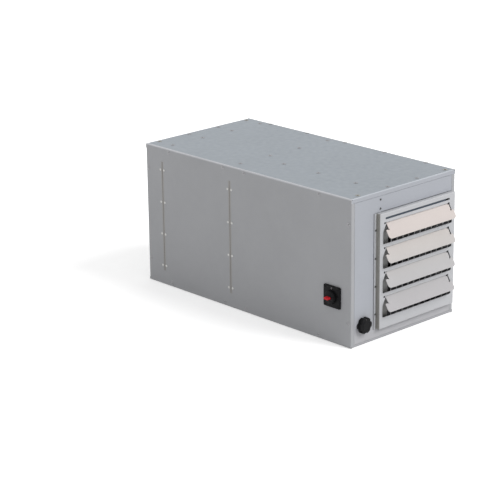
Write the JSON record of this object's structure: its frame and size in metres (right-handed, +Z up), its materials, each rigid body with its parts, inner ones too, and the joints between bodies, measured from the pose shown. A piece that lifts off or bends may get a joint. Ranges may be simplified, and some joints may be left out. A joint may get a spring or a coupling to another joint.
{
  "type": "ceiling mounted fan heater",
  "caption": "Long grey sheet-steel fan heater box that hangs from its roof, with a louvred warm-air outlet at the front, a side isolator and a thermostat knob.",
  "frame": {"origin": "centre of the casing's underside", "axes": "+X is right as seen from the louvred front, the front faces -Y, +Z is up"},
  "size_m": [0.4772, 0.9442, 0.4516],
  "materials": {
    "coated_sheet": "grey powder coat, semi-matt",
    "coated_roof": "grey powder coat, semi-matt",
    "coated_front": "light grey powder coat, semi-matt",
    "coated_blade": "warm light grey powder coat",
    "zinc_sheet": "galvanised sheet",
    "zinc_screw": "zinc plated",
    "rivet_alloy": "drawn",
    "guard_wire": "bright plated wire",
    "bright_steel": "ground steel",
    "bracket_paint": "black paint",
    "motor_shell": "dark painted housing",
    "impeller_alloy": "die-cast hub and sheet blades",
    "element_sheath": "heat-darkened steel",
    "insert_steel": "yellow passivated steel",
    "nut_brass": "turned",
    "strap_copper": "plain copper strip",
    "black_plastic": "moulded",
    "red_plastic": "moulded",
    "gear_plastic": "moulded",
    "terminal_plastic": "moulded",
    "phenolic": "moulded"
  },
  "bodies": {
    "casing": {"base_pan": "coated_sheet", "roof_panel": "coated_roof", "left_side_panel": "coated_sheet", "right_side_panel": "coated_sheet", "front_panel": "coated_front", "rear_panel": "coated_sheet", "corner_posts": "zinc_sheet", "frame_rails": "zinc_sheet", "hanger_rails": "zinc_sheet", "fan_ring": "zinc_sheet", "threaded_inserts": "insert_steel", "divider_wall": "zinc_sheet", "front_bulkhead": "zinc_sheet", "fan_plate": "zinc_sheet", "louvre_box": "coated_front", "pivot_rails": "zinc_sheet", "louvre_rods": "bright_steel", "outlet_guard": "guard_wire", "guard_clips": "zinc_screw", "inlet_guard": "guard_wire", "inlet_clamps": "zinc_sheet", "motor_bracket": "bracket_paint", "fan_motor": "motor_shell", "heating_element_1": "element_sheath", "heating_element_2": "element_sheath", "heating_element_3": "element_sheath", "heating_element_4": "element_sheath", "heating_element_5": "element_sheath", "heating_element_6": "element_sheath", "element_support": "zinc_sheet", "element_nuts": "nut_brass", "star_links": "strap_copper", "overheat_cutout": "phenolic", "isolator_plate": "black_plastic", "isolator_body": "gear_plastic", "thermostat_body": "terminal_plastic", "component_plate": "zinc_sheet", "din_rails": "zinc_sheet", "contactors": "gear_plastic", "terminal_block": "terminal_plastic", "cable_conduit": "gear_plastic", "cable_gland": "black_plastic", "side_screws": "zinc_screw", "seam_rivets": "rivet_alloy", "roof_screws": "zinc_screw", "front_screws": "zinc_screw", "rear_screws": "zinc_screw", "bracket_bolts": "zinc_screw"},
    "louvre_blade_1": {"louvre_blade_1": "coated_blade"},
    "louvre_blade_2": {"louvre_blade_2": "coated_blade"},
    "louvre_blade_3": {"louvre_blade_3": "coated_blade"},
    "louvre_blade_4": {"louvre_blade_4": "coated_blade"},
    "knob": {"control_knob": "black_plastic", "knob_shaft": "bright_steel"},
    "isolator": {"isolator_handle": "black_plastic", "isolator_grip": "red_plastic", "isolator_shaft": "bright_steel"},
    "fan": {"motor_shaft": "bright_steel", "fan_hub": "impeller_alloy", "fan_blades": "impeller_alloy"}
  },
  "joints": [
    {"name": "louvre_1_tilt", "type": "hinge", "parent": "casing", "child": "louvre_blade_1", "pos_m": [0.046, -0.454, 0.3528], "axis": [-1, 0, 0], "range_deg": [-31, 44]},
    {"name": "louvre_2_tilt", "type": "hinge", "parent": "casing", "child": "louvre_blade_2", "pos_m": [0.046, -0.454, 0.27805], "axis": [-1, 0, 0], "range_deg": [-31, 44]},
    {"name": "louvre_3_tilt", "type": "hinge", "parent": "casing", "child": "louvre_blade_3", "pos_m": [0.046, -0.454, 0.2033], "axis": [-1, 0, 0], "range_deg": [-31, 44]},
    {"name": "louvre_4_tilt", "type": "hinge", "parent": "casing", "child": "louvre_blade_4", "pos_m": [0.046, -0.454, 0.12855], "axis": [-1, 0, 0], "range_deg": [-31, 44]},
    {"name": "thermostat_turn", "type": "hinge", "parent": "casing", "child": "knob", "pos_m": [-0.1725, -0.445, 0.062], "axis": [0, 1, 0], "range_deg": [0, 270]},
    {"name": "isolator_turn", "type": "hinge", "parent": "casing", "child": "isolator", "pos_m": [-0.2225, -0.373, 0.144], "axis": [1, 0, 0], "range_deg": [0, 90]},
    {"name": "fan_spin", "type": "hinge", "parent": "casing", "child": "fan", "pos_m": [0, 0.343, 0.225], "axis": [0, 1, 0], "continuous": true}
  ]
}
